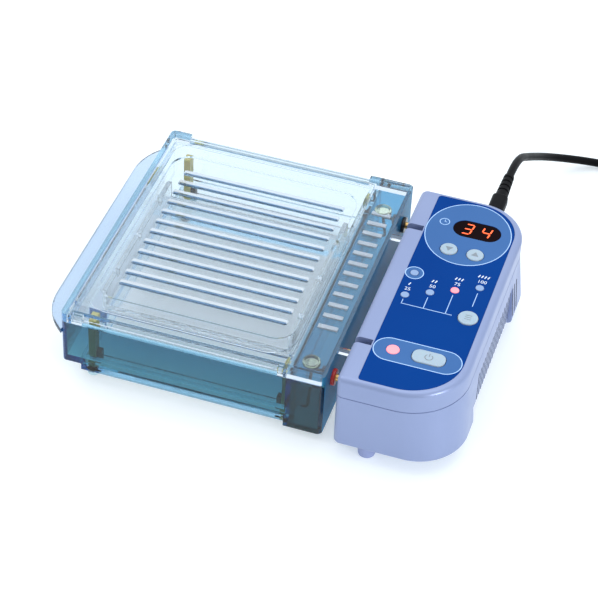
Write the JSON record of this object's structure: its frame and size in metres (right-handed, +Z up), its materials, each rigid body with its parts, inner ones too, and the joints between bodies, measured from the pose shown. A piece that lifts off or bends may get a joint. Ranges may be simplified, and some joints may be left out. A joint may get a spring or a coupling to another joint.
{
  "type": "horizontal electrophoresis tank",
  "caption": "horizontal gel electrophoresis tank in clear plastic with a ribbed lift-off lid, a gel tray and a plug-in power unit with a blue button panel and a mains lead",
  "frame": {"origin": "middle of the instrument's outline on the bench, without the mains lead", "axes": "X runs from the tank to the power unit, Y from the front to the back, Z up"},
  "size_m": [0.4052, 0.3067, 0.0583],
  "materials": {
    "case_plastic": "satin",
    "panel_blue": "satin",
    "window_dark": "gloss",
    "module_black": "matt",
    "light_clear": "gloss",
    "light_red": "gloss",
    "button_grey": "satin",
    "board_green": "satin",
    "switch_black": "matt",
    "core_steel": "laminated",
    "winding_copper": "lacquered wire",
    "can_dark": "sleeved",
    "sink_aluminium": "anodised",
    "terminal_red": "gloss",
    "terminal_black": "gloss",
    "contact_brass": "plated",
    "foot_rubber": "matt",
    "screw_steel": "zinc plated",
    "clear_acrylic": "polished acrylic",
    "clear_foot": "translucent",
    "holder_yellow": "satin",
    "clip_black": "matt",
    "wire_platinum": "bright",
    "lead_red": "matt",
    "lead_black": "matt",
    "magnet_steel": "bright",
    "cord_black": "matt"
  },
  "bodies": {
    "power_unit": {"lower_case": "case_plastic", "upper_case": "case_plastic", "panel_overlay": "panel_blue", "display_window": "window_dark", "display_module": "module_black", "voltage_lights": "light_clear", "option_light": "light_clear", "run_light": "light_red", "control_board": "board_green", "push_switches": "switch_black", "reed_switches": "switch_black", "power_board": "board_green", "transformer_core": "core_steel", "transformer_winding": "winding_copper", "smoothing_capacitors": "can_dark", "heat_sink": "sink_aluminium", "anode_socket": "terminal_red", "cathode_socket": "terminal_black", "socket_sleeves": "contact_brass", "unit_feet": "foot_rubber", "case_screws": "screw_steel", "cord_relief": "cord_black", "cord_lead": "cord_black", "cord_coil": "cord_black", "cord_tail": "cord_black", "mains_plug": "cord_black", "plug_blades": "contact_brass"},
    "time_down": {"time_down_button": "button_grey"},
    "time_up": {"time_up_button": "button_grey"},
    "voltage_select": {"voltage_button": "button_grey"},
    "run_pause": {"run_button": "button_grey"},
    "tank": {"tank_shell": "clear_acrylic", "shelf_plugs": "holder_yellow", "compartment_cover": "clear_acrylic", "tank_feet": "clear_foot", "electrode_holders": "holder_yellow", "electrode_clips": "clip_black", "anode_wire": "wire_platinum", "cathode_wire": "wire_platinum", "anode_lead": "lead_red", "cathode_lead": "lead_black", "anode_collar": "terminal_red", "cathode_collar": "terminal_black", "anode_pin": "contact_brass", "cathode_pin": "contact_brass"},
    "lid_body": {"lid": "clear_acrylic", "lid_magnets": "magnet_steel"},
    "tray": {"gel_tray": "clear_acrylic"}
  },
  "joints": [
    {"name": "tank_pull", "type": "slide", "parent": "power_unit", "child": "tank", "axis": [-1, 0, 0], "range_m": [0, 0.04]},
    {"name": "lid_lift", "type": "slide", "parent": "tank", "child": "lid_body", "axis": [0, 0, 1], "range_m": [0, 0.06]},
    {"name": "tray_lift", "type": "slide", "parent": "tank", "child": "tray", "axis": [0, 0, 1], "range_m": [0, 0.006]},
    {"name": "time_down_press", "type": "slide", "parent": "power_unit", "child": "time_down", "axis": [0, 0, -1], "range_m": [0, 0.0008], "stiffness_N_per_m": 900, "springref_m": -0.001},
    {"name": "time_up_press", "type": "slide", "parent": "power_unit", "child": "time_up", "axis": [0, 0, -1], "range_m": [0, 0.0008], "stiffness_N_per_m": 900, "springref_m": -0.001},
    {"name": "voltage_press", "type": "slide", "parent": "power_unit", "child": "voltage_select", "axis": [0, 0, -1], "range_m": [0, 0.0008], "stiffness_N_per_m": 900, "springref_m": -0.001},
    {"name": "run_press", "type": "slide", "parent": "power_unit", "child": "run_pause", "axis": [0, 0, -1], "range_m": [0, 0.0008], "stiffness_N_per_m": 900, "springref_m": -0.001}
  ]
}
